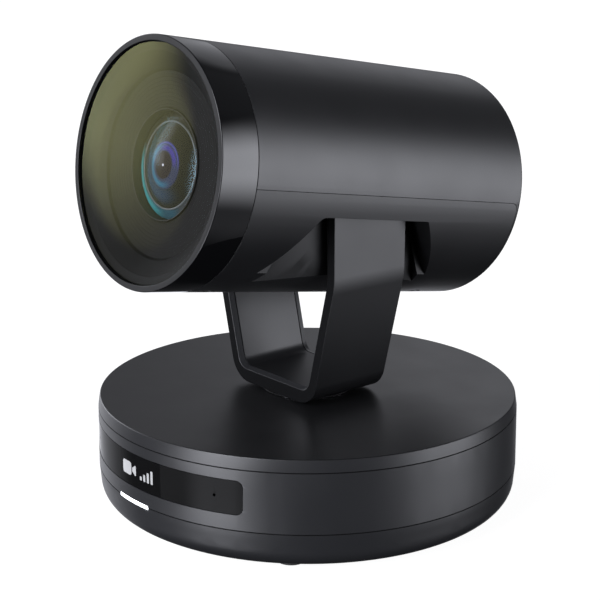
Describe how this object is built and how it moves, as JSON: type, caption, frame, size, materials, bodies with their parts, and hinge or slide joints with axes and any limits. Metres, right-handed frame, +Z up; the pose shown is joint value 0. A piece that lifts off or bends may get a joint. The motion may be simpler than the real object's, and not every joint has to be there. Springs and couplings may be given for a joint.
{
  "type": "pan-tilt-zoom conference camera",
  "caption": "Desktop pan-tilt-zoom camera: round base with display panel and rear sockets, slim panning U yoke, and a long cylindrical tilting lens head.",
  "frame": {"origin": "centre of the circle of feet, on the surface the camera stands on", "axes": "+Z up along the pan axis, the lens and display side face -Y, +X is to the right seen from above with -Y towards the viewer"},
  "size_m": [0.14, 0.14, 0.1568],
  "materials": {
    "shell_plastic": "fine satin moulded plastic, dark charcoal",
    "black_plastic": "satin moulded plastic, black",
    "bezel_gloss": "high-gloss black ring",
    "panel_gloss": "high-gloss smoked black",
    "display_glass": "polished black window over the display",
    "light_diffuser": "milky light pipe",
    "rubber": "soft rubber, slightly dusty",
    "brass": "machined",
    "steel": "zinc-plated and brushed",
    "socket_metal": "nickel-plated stamped shell",
    "lens_black": "anti-reflection black",
    "circuit_board": "solder mask",
    "sensor_glass": "sensor under cover glass",
    "heat_sink": "anodised",
    "cable_sheath": "flat cable sheath",
    "front_glass": "tinted, coated cover glass",
    "lens_glass": "multi-coated optical glass"
  },
  "bodies": {
    "base": {"bottom_tray": "shell_plastic", "side_band": "shell_plastic", "top_cover": "shell_plastic", "front_panel": "panel_gloss", "display_window": "display_glass", "display_board": "circuit_board", "status_light": "light_diffuser", "microphones": "steel", "rubber_feet": "rubber", "tripod_insert": "brass", "base_plate": "steel", "main_board": "circuit_board", "processor_heat_sink": "heat_sink", "port_panel": "black_plastic", "lan_socket": "socket_metal", "usb_socket": "socket_metal", "hdmi_socket": "socket_metal", "audio_socket": "lens_black", "power_socket": "lens_black", "pan_motor": "steel", "pan_bracket": "steel", "pan_bearing": "brass", "base_screws": "steel"},
    "yoke": {"turntable_disc": "black_plastic", "pan_shaft": "steel", "pan_gear": "lens_black", "shaft_clip": "steel", "yoke_frame": "shell_plastic", "yoke_liner": "shell_plastic", "yoke_cable": "cable_sheath", "yoke_screws": "steel", "right_tilt_axle": "steel", "left_tilt_axle": "steel", "tilt_gear": "brass"},
    "pan_pinion": {"pan_pinion": "brass"},
    "head": {"upper_shell": "shell_plastic", "lower_shell": "shell_plastic", "front_bezel": "bezel_gloss", "front_glass": "front_glass", "lens_baffle": "lens_black", "lens_barrel": "lens_black", "front_lens": "lens_glass", "guide_rods": "steel", "image_sensor": "sensor_glass", "sensor_board": "circuit_board", "sensor_heat_sink": "heat_sink", "head_chassis": "steel", "tilt_bushes": "brass", "tilt_motor": "steel", "head_screws": "steel"},
    "tilt_pinion": {"tilt_pinion": "brass"},
    "zoom_group": {"zoom_cell": "lens_black", "zoom_lens": "lens_glass"},
    "focus_group": {"focus_cell": "lens_black", "focus_lens": "lens_glass"}
  },
  "joints": [
    {"name": "pan", "type": "hinge", "parent": "base", "child": "yoke", "pos_m": [0, 0, 0.0375], "axis": [0, 0, 1], "range_deg": [-170, 170]},
    {"name": "tilt", "type": "hinge", "parent": "yoke", "child": "head", "pos_m": [0, 0, 0.1089], "axis": [-1, 0, 0], "range_deg": [-39.4, 15.6]},
    {"name": "pan_pinion_spin", "type": "hinge", "parent": "base", "child": "pan_pinion", "pos_m": [0, -0.03, 0.024], "axis": [0, 0, 1], "range_deg": [-681, 681]},
    {"name": "tilt_pinion_spin", "type": "hinge", "parent": "head", "child": "tilt_pinion", "pos_m": [0, 0.0222, 0.10523], "axis": [-1, 0, 0], "range_deg": [-158, 63]},
    {"name": "zoom_travel", "type": "slide", "parent": "head", "child": "zoom_group", "axis": [0, -0.9866, 0.1633], "range_m": [-0.008, 0.01]},
    {"name": "focus_travel", "type": "slide", "parent": "head", "child": "focus_group", "axis": [0, -0.9866, 0.1633], "range_m": [-0.005, 0.005]}
  ],
  "couplings": [
    {"joint": "pan_pinion_spin", "follows": "pan", "ratio": -4},
    {"joint": "tilt_pinion_spin", "follows": "tilt", "ratio": 4}
  ]
}
